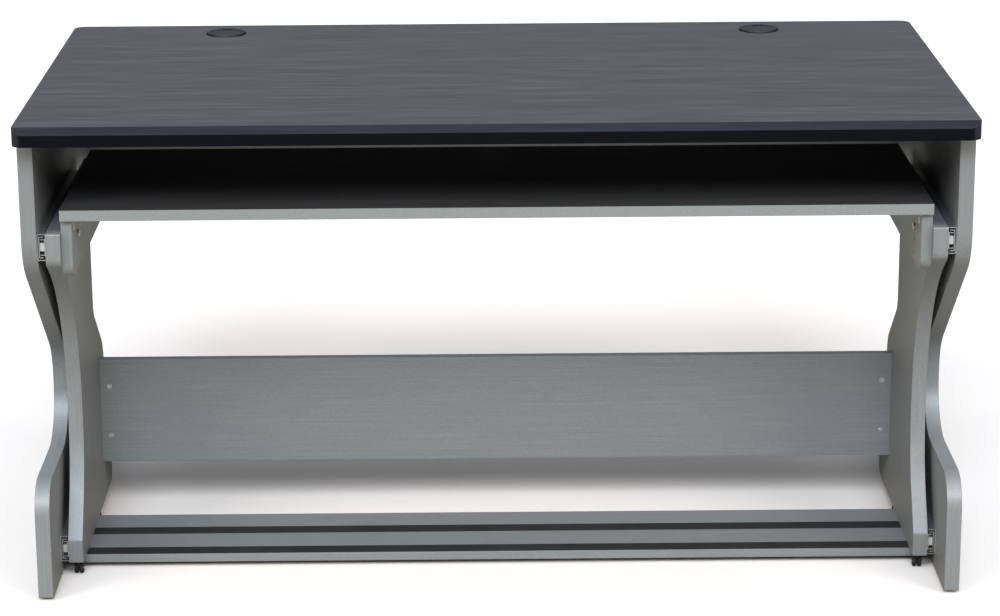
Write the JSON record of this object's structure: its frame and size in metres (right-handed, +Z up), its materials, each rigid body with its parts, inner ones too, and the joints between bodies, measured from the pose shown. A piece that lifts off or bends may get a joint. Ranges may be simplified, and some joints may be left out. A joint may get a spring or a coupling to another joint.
{
  "type": "studio desk",
  "caption": "Studio desk with S-shaped side panels, a bevelled top with cable grommets, and a rolling pull-out carriage with a keyboard shelf and footrest board.",
  "frame": {"origin": "on the floor under the centre of the desktop", "axes": "+X to the player's right along the desk's width, +Y away from the player, +Z up"},
  "size_m": [1.56, 0.876, 0.8329],
  "materials": {
    "dark_wood": "dark grey wood-grain laminate, satin",
    "silver_laminate": "silver metallic laminate on board, satin",
    "charcoal_laminate": "charcoal laminate with a silver front edge, satin",
    "zinc": "bright zinc plated steel",
    "black_plastic": "moulded, fine texture",
    "black_rubber": "matt",
    "pale_plastic": "moulded, smooth"
  },
  "bodies": {
    "frame": {"desktop": "dark_wood", "left_side_panel": "silver_laminate", "right_side_panel": "silver_laminate", "rear_rail": "silver_laminate", "centre_brace": "silver_laminate", "upper_slide_outer_left": "zinc", "upper_slide_outer_right": "zinc", "lower_slide_outer_left": "zinc", "lower_slide_outer_right": "zinc", "outer_slide_screws": "zinc", "frame_cam_locks": "zinc", "frame_cam_bolts": "zinc", "brace_screws": "zinc", "floor_glides": "black_plastic", "grommet_ring_left": "black_plastic", "grommet_ring_right": "black_plastic"},
    "carriage": {"keyboard_shelf": "charcoal_laminate", "shelf_bracket_left": "silver_laminate", "shelf_bracket_right": "silver_laminate", "shelf_cam_locks": "zinc", "shelf_cam_bolts": "zinc", "bracket_bolts": "zinc", "leg_left": "silver_laminate", "leg_right": "silver_laminate", "crossbar": "silver_laminate", "crossbar_bolts": "zinc", "barrel_nuts": "zinc", "base_board": "silver_laminate", "base_board_screws": "zinc", "footrest_strip_front": "black_rubber", "footrest_strip_rear": "black_rubber", "upper_slide_inner_left": "zinc", "upper_slide_inner_right": "zinc", "lower_slide_inner_left": "zinc", "lower_slide_inner_right": "zinc", "inner_slide_screws": "zinc", "slide_buffers": "pale_plastic", "caster_housing_front_left": "black_plastic", "caster_housing_front_right": "black_plastic", "caster_housing_rear_left": "black_plastic", "caster_housing_rear_right": "black_plastic", "caster_axles": "zinc", "caster_screws": "zinc"},
    "slide_middles": {"upper_slide_middle_left": "zinc", "upper_slide_middle_right": "zinc", "lower_slide_middle_left": "zinc", "lower_slide_middle_right": "zinc"},
    "outer_cages": {"outer_ball_cages": "zinc", "outer_balls": "zinc"},
    "inner_cages": {"inner_ball_cages": "zinc", "inner_balls": "zinc"},
    "wheels_front_left": {"caster_wheels_front_left": "black_rubber"},
    "wheels_front_right": {"caster_wheels_front_right": "black_rubber"},
    "wheels_rear_left": {"caster_wheels_rear_left": "black_rubber"},
    "wheels_rear_right": {"caster_wheels_rear_right": "black_rubber"},
    "cap_left": {"grommet_cap_left": "black_plastic"},
    "cap_right": {"grommet_cap_right": "black_plastic"}
  },
  "joints": [
    {"name": "carriage_pullout", "type": "slide", "parent": "frame", "child": "carriage", "axis": [0, -1, 0], "range_m": [0, 0.43]},
    {"name": "slide_middles_follow", "type": "slide", "parent": "frame", "child": "slide_middles", "axis": [0, -1, 0], "range_m": [0, 0.215]},
    {"name": "outer_cages_follow", "type": "slide", "parent": "frame", "child": "outer_cages", "axis": [0, -1, 0], "range_m": [0, 0.1075]},
    {"name": "inner_cages_follow", "type": "slide", "parent": "frame", "child": "inner_cages", "axis": [0, -1, 0], "range_m": [0, 0.3225]},
    {"name": "roll_front_left", "type": "hinge", "parent": "carriage", "child": "wheels_front_left", "pos_m": [-0.725, -0.25, 0.0095], "axis": [1, 0, 0], "continuous": true},
    {"name": "roll_front_right", "type": "hinge", "parent": "carriage", "child": "wheels_front_right", "pos_m": [0.725, -0.25, 0.0095], "axis": [1, 0, 0], "continuous": true},
    {"name": "roll_rear_left", "type": "hinge", "parent": "carriage", "child": "wheels_rear_left", "pos_m": [-0.725, 0.007, 0.0095], "axis": [1, 0, 0], "continuous": true},
    {"name": "roll_rear_right", "type": "hinge", "parent": "carriage", "child": "wheels_rear_right", "pos_m": [0.725, 0.007, 0.0095], "axis": [1, 0, 0], "continuous": true},
    {"name": "cap_lift_left", "type": "slide", "parent": "frame", "child": "cap_left", "axis": [0, 0, 1], "range_m": [0, 0.025]},
    {"name": "cap_lift_right", "type": "slide", "parent": "frame", "child": "cap_right", "axis": [0, 0, 1], "range_m": [0, 0.025]}
  ],
  "couplings": [
    {"joint": "slide_middles_follow", "follows": "carriage_pullout", "ratio": 0.5},
    {"joint": "outer_cages_follow", "follows": "carriage_pullout", "ratio": 0.25},
    {"joint": "inner_cages_follow", "follows": "carriage_pullout", "ratio": 0.75}
  ]
}
